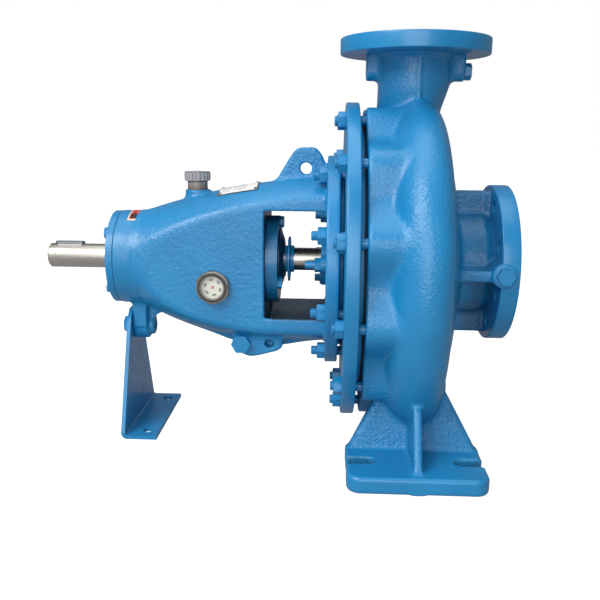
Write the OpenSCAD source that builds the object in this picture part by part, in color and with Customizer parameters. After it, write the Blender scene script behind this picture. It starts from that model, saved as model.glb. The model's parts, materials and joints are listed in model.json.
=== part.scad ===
// End-suction centrifugal water pump with a bare shaft.
// Inside the modules, the origin is where the shaft axis meets the discharge centreline.
// The finished part is moved so that its origin is the centre of the suction flange face.
// +X runs along the shaft towards the suction, +Z is up, all sizes in millimetres.

/* [Flanges] */
// Suction face to discharge centreline
suction_reach = 125; // [123:1:127]
// Shaft axis to discharge face
discharge_height = 277; // [276:1:280]
// Suction flange outside diameter
suction_flange_d = 200; // [196:1:200]
// Suction bolt circle diameter
suction_pcd = 160; // [158:1:162]
// Suction passage diameter
suction_bore = 80; // [76:1:80]
// Discharge flange outside diameter
discharge_flange_d = 185; // [180:1:185]
// Discharge bolt circle diameter
discharge_pcd = 145; // [143:1:147]
// Discharge passage diameter
discharge_bore = 65; // [60:1:65]
// Flange bolt hole diameter
flange_hole_d = 18; // [16:1:19]
// Suction flange thickness
flange_t = 22; // [20:1:22]
// Discharge flange thickness
discharge_flange_t = 19; // [18:1:20]

/* [Casing] */
// Outside radius of the volute
volute_r = 213; // [211:1:215]
// Radius of the stud circle round the cover
cover_stud_r = 184; // [183:1:185]
// Number of cover studs
cover_stud_count = 12; // [8:4:12]
// Radius of the casing cover
cover_r = 201; // [200:1:203]
// Thickness of the casing cover's rim
cover_t = 16; // [14:1:16]

/* [Feet] */
// Shaft height above the base
shaft_height = 228; // [225:1:229]
// Length of the casing foot along the shaft
foot_length = 160; // [158:1:164]
// Width of the casing foot across the shaft
foot_width = 425; // [420:1:428]
// Distance between the slots across the shaft
foot_slot_spacing = 330; // [328:1:332]
// Distance between the slot ends' centres along the shaft
foot_slot_gap = 110; // [108:1:116]
// Foot plate thickness
foot_t = 20; // [18:1:22]
// Width of the bent support foot at its base
support_width = 160; // [150:1:170]

/* [Bearing bracket] */
// Flat-to-flat width of the bracket body
bracket_width = 124; // [122:1:126]
// Radius of the bearing barrel
barrel_r = 61.5; // [61:0.5:63]
// Radius of the bracket where it meets its flange
bell_r = 106.5; // [104:0.5:108]
// Radius of the bracket flange
bracket_flange_r = 135; // [134:1:138]
// Number of bracket studs
bracket_stud_count = 8; // [4:4:8]
// Radius of the bracket stud circle
bracket_stud_r = 121; // [120:1:122]

/* [Shaft] */
// Shaft end diameter at the coupling
shaft_end_d = 32; // [31:1:32]
// Discharge centreline to the tip of the shaft
shaft_tip = 475; // [472:1:480]
// Width of the coupling key
key_w = 10; // [8:1:10]
// Impeller outside diameter
impeller_d = 318; // [300:1:320]
// Number of impeller vanes
vane_count = 6; // [5:1:7]

/* [Hidden] */

$fn = 64;
blue = [0.16, 0.45, 0.70];
steel = [0.72, 0.72, 0.70];
bronze = [0.72, 0.55, 0.30];
fit_gap = 0.05;
through = 1;

// Stations along the shaft, counted from the discharge centreline
collar_x = -61;
gasket_t = 1.5;
cover_x = -84;
flange_gap = 5.5;
bracket_flange_x = -105.5;
bracket_flange_t = 16;
window_x = -182.5;
window_bottom = -67.5;
window_top = 69;
bell_x = -107;
barrel_x = -345;
bracket_end_x = -375;
box_face_x = -100;
drive_cover_x = -384;

// Radii shared by pieces that fit together
spigot_r = 168;
box_r = 25;
box_outer_r = 56;
shaft_r = 15;
seat_r = 14;
thread_m12 = 6;
thread_m10 = 5;
thread_m8 = 4;
impeller_r = impeller_d / 2;
eye_r = suction_bore / 2;
ring_seat_r = 56;
ring_run_r = 50;

// Deep-groove ball bearing: 35 bore, 80 outside, 21 wide
bearing_bore_r = 17.5;
bearing_outer_r = 40;
bearing_w = 21;
ball_r = 6.7;
ball_pitch_r = 28.75;
ball_count = 8;
race_gap = 0.06;
drive_bearing_x = -375;
pump_bearing_x = -203.5;

// Oil fittings
filler_x = -275;
filler_top = 90;
sight_x = -247;
sight_z = -27;
drain_x = -214;
drain_z = -105;
pad_y = 45;
side_y = bracket_width / 2;

// Support foot and its lug
support_x = -368;
support_t = 5;
support_bolt_z = -94;

function flare(t, n) = 1 - pow(1 - t, n);
function bell_profile(n, steps = 10) =
    [for (i = [0:steps])
        let (t = i / steps)
        [barrel_x + (bell_x - barrel_x) * t, barrel_r + (bell_r - barrel_r) * flare(t, n)]];

module in_place() translate([-suction_reach, 0, 0]) children();
module facing_x() rotate([0, 90, 0]) children();
module disc_x(x, h, r) translate([x, 0, 0]) facing_x() cylinder(h = h, r = r);
module ring_x(x, h, r_out, r_in) {
    difference() {
        disc_x(x, h, r_out);
        disc_x(x - through, h + 2 * through, r_in);
    }
}
// Turns a closed outline of [x, radius] points round the shaft axis
module turned(points) facing_x() rotate_extrude() polygon([for (p = points) [p[1], p[0]]]);
// Repeats its children round the shaft axis, starting from the top
module around_x(count, r, start = 0) {
    for (i = [0:count - 1])
        rotate([start + i * 360 / count, 0, 0]) translate([0, 0, r]) children();
}
module hex_x(x, h, flats) translate([x, 0, 0]) facing_x() cylinder(h = h, r = flats / sqrt(3), $fn = 6);
module nut_x(x, h, flats, bore) {
    difference() {
        hex_x(x, h, flats);
        disc_x(x - through, h + 2 * through, bore);
    }
}
module hex_bolt_x(x, head, flats, shank, r) {
    hex_x(x, head, flats);
    disc_x(x + head, shank, r);
}
module mirrored_y() {
    children();
    mirror([0, 1, 0]) children();
}
module extruded_y(half) {
    translate([0, half, 0]) rotate([90, 0, 0]) linear_extrude(2 * half) children();
}

// ---- Casing ----
dome_x = -6;
dome_depth = 60;
dome_power = 0.42;
volute_y = 5;
volute_z = -4;
shoulder_w = 40;
shoulder_drop = 40;
channel_r = 168;
channel_section_r = 27;
neck_r = 45;
boss_z = 239;
foot_top = foot_t - shaft_height;
foot_inner_y = 135;
foot_x = 2;

module volute_outside() {
    steps = 14;
    dome = [for (i = [0:steps])
        let (a = 90 * i / steps)
        [dome_x + dome_depth * pow(cos(a), dome_power), volute_r * sin(a)]];
    shoulder = [for (i = [1:6])
        let (a = 15 * i)
        [dome_x - shoulder_w * sin(a), volute_r - shoulder_drop * (1 - cos(a))]];
    translate([0, volute_y, volute_z])
        turned(concat(dome, shoulder, [[dome_x - shoulder_w, 0]]));
}

module collar_outside() {
    disc_x(collar_x, 20, cover_stud_r + 4);
    around_x(cover_stud_count, cover_stud_r, 15) disc_x(collar_x, 34, 15);
}

module suction_neck() {
    neck_end = suction_reach - flange_t;
    disc_x(20, neck_end - 10, 64);
    // Ribs above and below the neck
    intersection() {
        disc_x(20, neck_end - 10, 93);
        translate([20, -7, -100]) cube([neck_end - 20, 14, 200]);
    }
    disc_x(neck_end, flange_t, suction_flange_d / 2);
    translate([30, -100, -7]) cube([neck_end - 30, 200, 14]);
    translate([neck_end + 3, 103, 0]) rotate([90, 0, 0]) cylinder(h = 206, r = 15);
}

module discharge_neck() {
    flange_z = discharge_height - discharge_flange_t;
    translate([0, 0, 140]) cylinder(h = flange_z - 130, r = neck_r);
    // Swan neck that leaves the wide side of the volute
    translate([0, 8, 218]) rotate([-150, 0, 0]) cylinder(h = 120, r = neck_r - 2);
    translate([0, 0, flange_z]) cylinder(h = discharge_flange_t, r = discharge_flange_d / 2);
    translate([-60, 0, boss_z]) facing_x() cylinder(h = 122, r = 12);
}

module foot_outside() {
    corner = 16;
    leg_wall = 14;
    slab_x = foot_length / 2 - corner;
    slab_y = foot_width / 2 - corner;
    // Two plates with sloping legs, open between them
    difference() {
        union() {
            translate([0, 0, -shaft_height]) {
                translate([-slab_x - corner, -slab_y, 0]) cube([foot_length, 2 * slab_y, foot_t]);
                translate([-slab_x, -slab_y - corner, 0]) cube([2 * slab_x, foot_width, foot_t]);
                for (sx = [-1, 1], sy = [-1, 1])
                    translate([sx * slab_x, sy * slab_y, 0]) cylinder(h = foot_t, r = corner);
            }
            intersection() {
                extruded_y(foot_inner_y)
                    polygon([[-77, foot_top - 1], [77, foot_top - 1], [77, foot_top], [14, -110],
                             [-14, -110], [-77, foot_top]]);
                translate([-100, 0, 0]) rotate([90, 0, 90]) linear_extrude(200)
                    polygon([[-foot_inner_y, foot_top - 1], [foot_inner_y, foot_top - 1],
                             [foot_inner_y, foot_top], [112, -110], [-112, -110],
                             [-foot_inner_y, foot_top]]);
            }
        }
        translate([-100, 0, 0]) rotate([90, 0, 90]) linear_extrude(200)
            polygon([[leg_wall - foot_inner_y, -shaft_height - 1], [leg_wall - foot_inner_y, foot_top],
                     [leg_wall - 112, -110 + through], [112 - leg_wall, -110 + through],
                     [foot_inner_y - leg_wall, foot_top], [foot_inner_y - leg_wall, -shaft_height - 1]]);
    }
    mirrored_y()
        translate([-4.5, 0, 0]) rotate([90, 0, 90]) linear_extrude(9)
            polygon([[106, foot_top - 1], [foot_width / 2 - 11, foot_top - 1],
                     [foot_width / 2 - 11, foot_top], [172, -138], [106, -120]]);
}

module foot_cuts() {
    slot_r = 9;
    // Open-ended slots for the foundation bolts
    for (sx = [-1, 1], sy = [-1, 1]) {
        translate([sx * foot_slot_gap / 2, sy * foot_slot_spacing / 2, -shaft_height - through])
            cylinder(h = foot_t + 2 * through, r = slot_r);
        translate([sx * (foot_slot_gap / 2 + 25) - 25, sy * foot_slot_spacing / 2 - slot_r,
                   -shaft_height - through])
            cube([50, 2 * slot_r, foot_t + 2 * through]);
    }
}

module casing_waterway() {
    cone = [[20, 0], [20, 66], [14, impeller_r + 5], [-45, impeller_r + 5], [-45, 0]];
    turned(cone);
    disc_x(collar_x - 5, 30, spigot_r);
    disc_x(19, 5, 62);
    disc_x(23, 17, ring_seat_r + fit_gap);
    disc_x(39, suction_reach, eye_r);
    translate([0, volute_y, volute_z]) facing_x() rotate_extrude()
        translate([channel_r, 0]) circle(r = channel_section_r);
    translate([0, 0, 170]) cylinder(h = discharge_height, r = discharge_bore / 2);
}

module flange_holes() {
    around_x(8, suction_pcd / 2, 22.5)
        disc_x(suction_reach - flange_t - 4, flange_t + 10, flange_hole_d / 2);
    for (i = [0:3])
        rotate([0, 0, 45 + 90 * i])
            translate([discharge_pcd / 2, 0, discharge_height - discharge_flange_t - through])
                cylinder(h = discharge_flange_t + 2 * through, r = flange_hole_d / 2);
}

plug_r = 6.5;
module volute_casing() {
    color(blue) in_place() difference() {
        union() {
            volute_outside();
            collar_outside();
            suction_neck();
            discharge_neck();
            translate([foot_x, 0, 0]) foot_outside();
        }
        casing_waterway();
        // Room for the cover's rim in front of the leg
        disc_x(collar_x - 40, 40, cover_r + 5);
        flange_holes();
        translate([foot_x, 0, 0]) foot_cuts();
        around_x(cover_stud_count, cover_stud_r, 15)
            disc_x(collar_x - 5, 29, thread_m12);
        // Tappings for the gauge plugs
        translate([suction_reach - flange_t + 3, -103 - through, 0]) rotate([-90, 0, 0])
            cylinder(h = 20, r = plug_r);
        translate([62 - 20 + through, 0, boss_z]) facing_x() cylinder(h = 20, r = plug_r);
    }
}

module front_wear_ring() {
    color(bronze) in_place() ring_x(24, 15, ring_seat_r, ring_run_r);
}

module rear_wear_ring() {
    color(bronze) in_place() ring_x(-26, 9, ring_seat_r, ring_run_r);
}

module casing_gasket() {
    color([0.12, 0.12, 0.12]) in_place() ring_x(collar_x - gasket_t, gasket_t, 173, spigot_r + 0.5);
}

// ---- Cover and stuffing box ----
lip_r = 100;
bush_x = -46;
throat_r = 17;
module casing_cover() {
    rim_x = cover_x + cover_t;
    land_x = collar_x - gasket_t;
    face_x = -17;
    color(blue) in_place() difference() {
        turned([[cover_x, cover_r], [rim_x, cover_r], [rim_x, 173], [land_x, 173],
                [land_x, spigot_r - fit_gap], [-48, spigot_r - fit_gap], [-48, 158],
                [-56, 150], [-56, 112], [-30, 92], [face_x, 86],
                [face_x, ring_seat_r + fit_gap], [face_x - 9.1, ring_seat_r + fit_gap],
                [face_x - 9.1, 40], [face_x - 14, 36], [face_x - 14, throat_r],
                [bush_x, throat_r], [bush_x, box_r], [box_face_x, box_r],
                [box_face_x, box_outer_r], [-44, box_outer_r], [-36, 66], [-36, 84],
                [-46, 94], [cover_x - 4, 94], [cover_x - 4, lip_r - fit_gap],
                [cover_x, lip_r - fit_gap]]);
        around_x(cover_stud_count, cover_stud_r, 15) disc_x(cover_x - through, cover_t + 2 * through, 7);
        around_x(bracket_stud_count, bracket_stud_r, 22.5)
            disc_x(cover_x - through, 24, thread_m12);
        for (side = [-1, 1])
            translate([0, side * gland_stud_y, 0]) disc_x(box_face_x - through, 21, thread_m10);
    }
}

module cover_studs() {
    color(blue) in_place() around_x(cover_stud_count, cover_stud_r, 15)
        disc_x(-98, 61, thread_m12 - fit_gap);
}

module cover_nuts() {
    color(blue) in_place() around_x(cover_stud_count, cover_stud_r, 15)
        nut_x(cover_x - 10, 10, 19, thread_m12);
}

ring_w = 10;
module box_ring(x, w) ring_x(x, w, box_r - fit_gap, shaft_r + fit_gap);

module neck_bush() {
    color(bronze) in_place() box_ring(bush_x - 6, 6);
}

module packing_rings() {
    color([0.30, 0.29, 0.26]) in_place() for (x = [-62, -82, -92]) box_ring(x, ring_w - 0.1);
}

module lantern_ring() {
    color(bronze) in_place() difference() {
        box_ring(-72, ring_w - 0.1);
        // Waist and drilled holes that let flushing water reach the shaft
        ring_x(-69.5, 5, box_r + 1, box_r - 3);
        for (i = [0:3]) rotate([45 + 90 * i, 0, 0]) translate([-67, 0, 0]) cylinder(h = 30, r = 1.5);
    }
}

gland_stud_y = 45;
gland_x = -112;
module gland() {
    color(blue) in_place() difference() {
        union() {
            disc_x(gland_x, 7, 34);
            translate([gland_x, -gland_stud_y, -11]) cube([7, 2 * gland_stud_y, 22]);
            for (side = [-1, 1]) translate([0, side * gland_stud_y, 0]) disc_x(gland_x, 7, 11);
            disc_x(gland_x, 19.8, box_r - fit_gap);
        }
        disc_x(gland_x - through, 30, shaft_r + 0.4);
        for (side = [-1, 1])
            translate([0, side * gland_stud_y, 0]) disc_x(gland_x - through, 9, 5.5);
    }
}

module gland_studs() {
    color(steel) in_place() for (side = [-1, 1])
        translate([0, side * gland_stud_y, 0]) disc_x(-132, 51, thread_m10 - fit_gap);
}

module gland_nuts() {
    color(steel) in_place() for (side = [-1, 1])
        translate([0, side * gland_stud_y, 0]) nut_x(gland_x - 8, 8, 16, thread_m10 + fit_gap);
}

// ---- Bearing bracket ----
module bracket_outside() {
    // Round bell cut to flat sides, with a fuller lower half
    intersection() {
        union() {
            turned(concat(bell_profile(1.83), [[bell_x, 0], [barrel_x, 0]]));
            intersection() {
                turned(concat(bell_profile(3.2), [[bell_x, 0], [barrel_x, 0]]));
                translate([-400, -150, -150]) cube([300, 300, 150]);
            }
        }
        translate([-400, -side_y, -150]) cube([400, bracket_width, 300]);
    }
    disc_x(bracket_end_x, 40, barrel_r);
    disc_x(bracket_flange_x, bracket_flange_t, bracket_flange_r);
    disc_x(bracket_flange_x + bracket_flange_t - through, flange_gap + through, 112);
    // Drain pad and keel
    extruded_y(14)
        polygon([[-322, -60], [-322, -73], [-232, -111], [-161, -116.5], [bell_x, -105], [bell_x, -90]]);
    extruded_y(pad_y)
        polygon([[-226, -70], [-225.5, -107], [-222, -115.5], [-205, -123.5], [-198, -123.5],
                 [-166, -115], [-160.5, -110], [-159, -70]]);
    // Filler boss
    translate([filler_x, 0, 40]) cylinder(h = filler_top - 40, r = 16);
    // Lifting lug
    extruded_y(7.5) polygon([[-176, 96], [-150, 140], [-145, 144.5], [-122, 145.5], [-117, 142],
                             [-111, 132.5], [bracket_flange_x + 1, 132.5], [bell_x + 2, 96]]);
    // Lug that the support foot bolts to
    translate([support_x + support_t, -20, support_bolt_z]) cube([19, 40, 60]);
    translate([support_x + support_t, 0, support_bolt_z]) {
        facing_x() cylinder(h = 19, r = 18);
        facing_x() cylinder(h = 26, r = 13);
    }
    extruded_y(7) polygon([[-350, -50], [-350, -88], [-319, -71], [-319, -50]]);
}

module bracket_inside() {
    // Oil sump between the bearings
    intersection() {
        turned([[-350, 0], [-350, 44], [-320, 56], [-280, 72], [-240, 84], [-216, 88], [-216, 0]]);
        translate([-360, 12 - side_y, -150]) cube([200, bracket_width - 24, 300]);
    }
    disc_x(bracket_end_x - through, 40, bearing_outer_r);
    disc_x(pump_bearing_x, 30, bearing_outer_r);
    disc_x(-230, 30, 36);
    // Window round the shaft and the open bell towards the pump
    translate([window_x, -side_y - 10, window_bottom])
        cube([bell_x - window_x, bracket_width + 20, window_top - window_bottom]);
    disc_x(window_x, 60, 88);
    disc_x(-125, 60, 88);
    disc_x(bracket_flange_x + bracket_flange_t - through - 4, 20, lip_r);
}

module bearing_bracket() {
    color(blue) in_place() difference() {
        bracket_outside();
        bracket_inside();
        around_x(bracket_stud_count, bracket_stud_r, 22.5)
            disc_x(bracket_flange_x - through, bracket_flange_t + 2 * through, 7);
        around_x(4, 50, 45) disc_x(bracket_end_x - through, 22, thread_m8);
        around_x(3, 49) disc_x(window_x - 20, 22, thread_m8);
        translate([-133.4, 20, 118.5]) rotate([90, 0, 0]) cylinder(h = 40, r = 7.5);
        translate([support_x, 0, support_bolt_z]) facing_x() cylinder(h = 40, r = thread_m12);
        translate([filler_x, 0, 60]) cylinder(h = 40, r = 9);
        translate([sight_x, -side_y - through, sight_z]) rotate([-90, 0, 0]) cylinder(h = 20, r = 16);
        translate([drain_x, -pad_y - through, drain_z]) rotate([-90, 0, 0]) cylinder(h = 26, r = 8);
        translate([-177.6, -pad_y - through, -105]) rotate([-90, 0, 0]) cylinder(h = 26, r = 6);
        label_screws(1.25, 6, 4);
    }
}

module bracket_studs() {
    color(blue) in_place() around_x(bracket_stud_count, bracket_stud_r, 22.5)
        disc_x(-123, 61, thread_m12 - fit_gap);
}

module bracket_nuts() {
    color(blue) in_place() around_x(bracket_stud_count, bracket_stud_r, 22.5)
        nut_x(bracket_flange_x - 10, 10, 19, thread_m12);
}

module drive_bearing_cover() {
    color(blue) in_place() difference() {
        ring_x(drive_cover_x, 8.5, 60.8, 18);
        disc_x(drive_cover_x + 1, 10, 24);
        around_x(4, 50, 45) disc_x(drive_cover_x - through, 12, 4.5);
    }
}

module drive_cover_gasket() {
    color([0.10, 0.10, 0.10]) in_place() difference() {
        ring_x(bracket_end_x - 0.5, 0.5, 60.4, 41);
        around_x(4, 50, 45) disc_x(bracket_end_x - 5, 10, 4.5);
    }
}

module drive_cover_bolts() {
    color(blue) in_place() around_x(4, 50, 45)
        hex_bolt_x(drive_cover_x - 5.5, 5.5, 13, 26, thread_m8 - fit_gap);
}

module drive_oil_seal() {
    color([0.08, 0.08, 0.08]) in_place() ring_x(drive_cover_x + 1.1, 5.2, 24 - fit_gap, 16.5 + fit_gap);
}

module pump_bearing_cover() {
    color(blue) in_place() difference() {
        union() {
            disc_x(window_x + 0.5, 15, 57);
            turned([[window_x + 15, 0], [window_x + 15, 40.5], [window_x + 17, 40.5],
                    [window_x + 21.8, 27], [window_x + 21.8, 0]]);
        }
        disc_x(window_x - through, 9, 34);
        disc_x(window_x, 30, 18);
        disc_x(window_x + 12, 30, 24);
        around_x(3, 49) disc_x(window_x - through, 20, 4.5);
    }
}

module pump_cover_gasket() {
    color([0.10, 0.10, 0.10]) in_place() difference() {
        ring_x(window_x, 0.5, 56.5, 40.5);
        around_x(3, 49) disc_x(window_x - 5, 10, 4.5);
    }
}

module pump_cover_bolts() {
    color(blue) in_place() around_x(3, 49)
        rotate([0, 0, 180]) hex_bolt_x(-window_x - 21, 5.5, 13, 29, thread_m8 - fit_gap);
}

module pump_oil_seal() {
    color([0.08, 0.08, 0.08]) in_place() ring_x(window_x + 12.1, 7, 24 - fit_gap, shaft_r + fit_gap);
}

// ---- Rolling bearings ----
module groove(x) {
    translate([x + bearing_w / 2, 0, 0]) facing_x() rotate_extrude()
        translate([ball_pitch_r, 0]) circle(r = ball_r + race_gap);
}
module outer_ring(x) {
    difference() {
        ring_x(x, bearing_w, bearing_outer_r - 0.02, 32);
        groove(x);
    }
}
module inner_ring(x) {
    difference() {
        ring_x(x, bearing_w, 25.5, bearing_bore_r + 0.02);
        groove(x);
    }
}
module ball_at(i, r) {
    rotate([i * 360 / ball_count, 0, 0]) translate([0, 0, ball_pitch_r]) sphere(r = r);
}
module balls(x) {
    translate([x + bearing_w / 2, 0, 0]) for (i = [0:ball_count - 1]) ball_at(i, ball_r);
}
module cage(x) {
    translate([x + bearing_w / 2, 0, 0]) difference() {
        ring_x(-8, 16, ball_pitch_r + 1.2, ball_pitch_r - 1.2);
        for (i = [0:ball_count - 1]) ball_at(i, ball_r + race_gap);
    }
}
module drive_outer_ring() { color(steel) in_place() outer_ring(drive_bearing_x); }
module drive_inner_ring() { color(steel) in_place() inner_ring(drive_bearing_x); }
module drive_balls() { color(steel) in_place() balls(drive_bearing_x); }
module drive_cage() { color(bronze) in_place() cage(drive_bearing_x); }
module pump_outer_ring() { color(steel) in_place() outer_ring(pump_bearing_x); }
module pump_inner_ring() { color(steel) in_place() inner_ring(pump_bearing_x); }
module pump_balls() { color(steel) in_place() balls(pump_bearing_x); }
module pump_cage() { color(bronze) in_place() cage(pump_bearing_x); }

// ---- Rotor ----
end_r = shaft_end_d / 2;
key_start = -468;
key_end = -428.5;
module key_bar(x0, x1, w, z0, z1) {
    translate([x0 + w / 2, -w / 2, z0]) cube([x1 - x0 - w, w, z1 - z0]);
    for (x = [x0 + w / 2, x1 - w / 2]) translate([x, 0, z0]) cylinder(h = z1 - z0, r = w / 2);
}

module shaft() {
    color([0.80, 0.80, 0.78]) in_place() difference() {
        turned([[-shaft_tip, 0], [-shaft_tip, end_r - 1.5], [1.5 - shaft_tip, end_r],
                [-392, end_r], [-392, 16.5], [-377.5, 16.5], [-377.5, bearing_bore_r],
                [-354, bearing_bore_r], [-354, 20], [pump_bearing_x - 0.02, 20],
                [pump_bearing_x - 0.02, bearing_bore_r], [-180, bearing_bore_r], [-180, shaft_r],
                [-30, shaft_r], [-30, seat_r], [12, seat_r], [12, 10], [31, 10], [31, 0]]);
        key_bar(key_start, key_end, key_w, 11, 20);
        key_bar(-26, 2, 8, 10, 20);
        translate([6 - shaft_tip, 0, 0]) rotate([0, -90, 0]) cylinder(h = 8, r = 3);
    }
}

module shaft_circlips() {
    color([0.25, 0.25, 0.26]) in_place() {
        ring_x(drive_bearing_x - 1.8, 1.7, 20.5, bearing_bore_r + 0.02);
        ring_x(pump_bearing_x + bearing_w + 0.1, 1.7, 20.5, bearing_bore_r + 0.02);
    }
}

module coupling_key() {
    color(steel) in_place() key_bar(key_start + 0.1, key_end - 0.1, key_w - 0.06, 11.05, 19);
}

hub_r = 24;
back_x = -13;
module vane() {
    // One backward-curved blade, an arc of a ring that starts at the eye
    curve_r = 105;
    intersection() {
        translate([-9, 0, 0]) facing_x() difference() {
            translate([0, -82, 0]) cylinder(h = 40, r = curve_r);
            translate([0, -82, 0]) cylinder(h = 40, r = curve_r - 5);
        }
        translate([-10, -200, -200]) cube([40, 400, 200]);
        turned([[-9, 50], [17.5, 50], [9, impeller_r - 0.5], [-9, impeller_r - 0.5]]);
    }
}
module impeller() {
    color([0.62, 0.56, 0.42]) in_place() difference() {
        union() {
            // Back plate with its hub and rear ring
            turned([[-29.9, seat_r], [-29.9, hub_r - 2], [back_x, hub_r + 4], [back_x, impeller_r],
                    [-7, impeller_r], [-7, 60], [4, 26], [11.9, 20],
                    [11.9, seat_r]]);
            ring_x(-25, 13, ring_run_r - 0.3, 42);
            // Front plate with the eye
            turned([[7, impeller_r], [11, impeller_r], [18, 60], [20, ring_run_r - 0.3],
                    [38, ring_run_r - 0.3], [38, eye_r], [20, eye_r], [7, 80]]);
            for (i = [0:vane_count - 1]) rotate([i * 360 / vane_count, 0, 0]) vane();
        }
        disc_x(-60, 80, seat_r + 0.02);
        key_bar(-50, 20, 8, 8, 17.5);
        around_x(6, 34, 30) disc_x(-30, 40, 3);
    }
}

module impeller_key() {
    color(steel) in_place() key_bar(-25.9, 1.9, 7.94, 10.05, 17);
}

module impeller_washer() {
    color(steel) in_place() ring_x(12, 2, 18, 10.1);
}

module impeller_nut() {
    color(steel) in_place() difference() {
        union() {
            hex_x(14.05, 15, 30);
            disc_x(29, 8, 13);
        }
        disc_x(14, 18, 10 + fit_gap);
    }
}

module thrower() {
    color([0.10, 0.22, 0.34]) in_place() {
        turned([[-160, shaft_r + 0.02], [-160, 17.6], [-156.4, 17.6], [-155.6, 29], [-155, 29.6],
                [-153.6, 29.6], [-153, 29], [-152.2, 17.6], [-148, 17.6], [-148, shaft_r + 0.02]]);
    }
}

// ---- Oil fittings ----
neck_top = 110;
cap_seat = 101.3;
module filler_neck() {
    color([0.60, 0.61, 0.62]) in_place() translate([filler_x, 0, 0]) difference() {
        union() {
            translate([0, 0, 66]) cylinder(h = filler_top - 65.9, r = 9 - fit_gap);
            translate([0, 0, filler_top]) cylinder(h = 10, r = 13);
            translate([0, 0, filler_top + 9]) cylinder(h = neck_top - filler_top - 9, r = 10.9);
        }
        translate([0, 0, 60]) cylinder(h = 60, r = 6);
    }
}

module cap_gasket() {
    color([0.12, 0.12, 0.12]) in_place() translate([filler_x, 0, 100.05]) difference() {
        cylinder(h = 1.2, r = 13);
        translate([0, 0, -through]) cylinder(h = 4, r = 11);
    }
}

module filler_cap() {
    rib_count = 20;
    color([0.62, 0.63, 0.64]) in_place() translate([filler_x, 0, cap_seat]) difference() {
        union() {
            cylinder(h = 11.7, r = 16);
            for (i = [0:rib_count - 1])
                rotate([0, 0, i * 360 / rib_count]) translate([15.6, 0, 1]) cylinder(h = 9.5, r = 1.4);
        }
        translate([0, 0, -through]) cylinder(h = 10, r = 11);
    }
}

module on_side_face() translate([sight_x, -side_y, sight_z]) rotate([90, 0, 0]) children();

module sight_glass_ring() {
    color([0.35, 0.35, 0.34]) in_place() on_side_face() difference() {
        union() {
            translate([0, 0, -10]) cylinder(h = 12, r = 16 - fit_gap);
            intersection() {
                translate([0, 0, 1]) rotate([0, 0, 30]) cylinder(h = 5, r = 23.5, $fn = 6);
                cylinder(h = 9, r = 21.2);
            }
            translate([0, 0, 5]) cylinder(h = 4, r = 19.5);
        }
        translate([0, 0, -11]) cylinder(h = 30, r = 11);
        translate([0, 0, 2.5]) cylinder(h = 10, r = 15);
    }
}

module sight_glass_lens() {
    color([0.85, 0.90, 0.88, 0.4]) in_place() on_side_face()
        translate([0, 0, 4]) cylinder(h = 4, r = 15 - fit_gap);
}

module sight_glass_disc() {
    color([0.88, 0.88, 0.80]) in_place() on_side_face() difference() {
        translate([0, 0, 2.6]) cylinder(h = 1.2, r = 14.9);
        for (i = [0:5]) rotate([0, 0, 60 * i + 27])
            rotate_extrude(angle = 30) translate([8.4, 0]) square([2.8, 9]);
    }
}

module sight_glass_seal() {
    color([0.08, 0.08, 0.08]) in_place() on_side_face() difference() {
        cylinder(h = 0.95, r = 20);
        translate([0, 0, -through]) cylinder(h = 4, r = 16 + fit_gap);
    }
}

module on_pad() translate([drain_x, -pad_y, drain_z]) rotate([90, 0, 0]) children();

module oil_drain_plug() {
    color(blue) in_place() on_pad() {
        translate([0, 0, 1.05]) cylinder(h = 7, r = 22 / sqrt(3), $fn = 6);
        translate([0, 0, -16]) cylinder(h = 17.1, r = 8 - fit_gap);
    }
}

module drain_plug_washer() {
    color([0.55, 0.35, 0.20]) in_place() on_pad() difference() {
        cylinder(h = 1, r = 12);
        translate([0, 0, -through]) cylinder(h = 4, r = 8 + fit_gap);
    }
}

module hex_plug(flats) {
    cylinder(h = 8, r = flats / sqrt(3), $fn = 6);
    translate([0, 0, -14]) cylinder(h = 14.1, r = plug_r - fit_gap);
}

module suction_gauge_plug() {
    color(blue) in_place() translate([suction_reach - flange_t + 3, -103, 0])
        rotate([90, 0, 0]) hex_plug(18);
}

module discharge_gauge_plug() {
    color(blue) in_place() translate([62, 0, boss_z]) facing_x() hex_plug(18);
}

// ---- Support foot ----
module support_foot() {
    base_z = -shaft_height;
    half = support_width / 2;
    leg = 46;
    bend_r = 8;
    color(blue) in_place() difference() {
        union() {
            translate([support_x, 0, 0]) rotate([90, 0, 90]) linear_extrude(support_t)
                polygon([[-half, base_z + bend_r], [half, base_z + bend_r], [28, -80], [16, -68],
                         [-16, -68], [-28, -80]]);
            translate([support_x + bend_r, -half, base_z]) cube([leg - bend_r, 2 * half, support_t]);
            // Quarter-round bend between the upright and the leg
            intersection() {
                translate([support_x + bend_r, half, base_z + bend_r]) rotate([90, 0, 0])
                    difference() {
                        cylinder(h = 2 * half, r = bend_r);
                        translate([0, 0, -through])
                            cylinder(h = 2 * half + 2 * through, r = bend_r - support_t);
                    }
                translate([support_x, -half, base_z]) cube([bend_r, 2 * half, bend_r]);
            }
        }
        translate([support_x - through, 0, support_bolt_z]) facing_x() cylinder(h = 10, r = 7);
        for (side = [-1, 1])
            translate([-337, side * 60, base_z - through]) cylinder(h = 10, r = 7);
    }
}

module support_washer() {
    color(blue) in_place() translate([0, 0, support_bolt_z]) ring_x(support_x - 2.5, 2.5, 12, 6.5);
}

module support_bolt() {
    color(blue) in_place() translate([0, 0, support_bolt_z])
        hex_bolt_x(support_x - 10.5, 8, 19, 30, thread_m12 - fit_gap);
}

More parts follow.
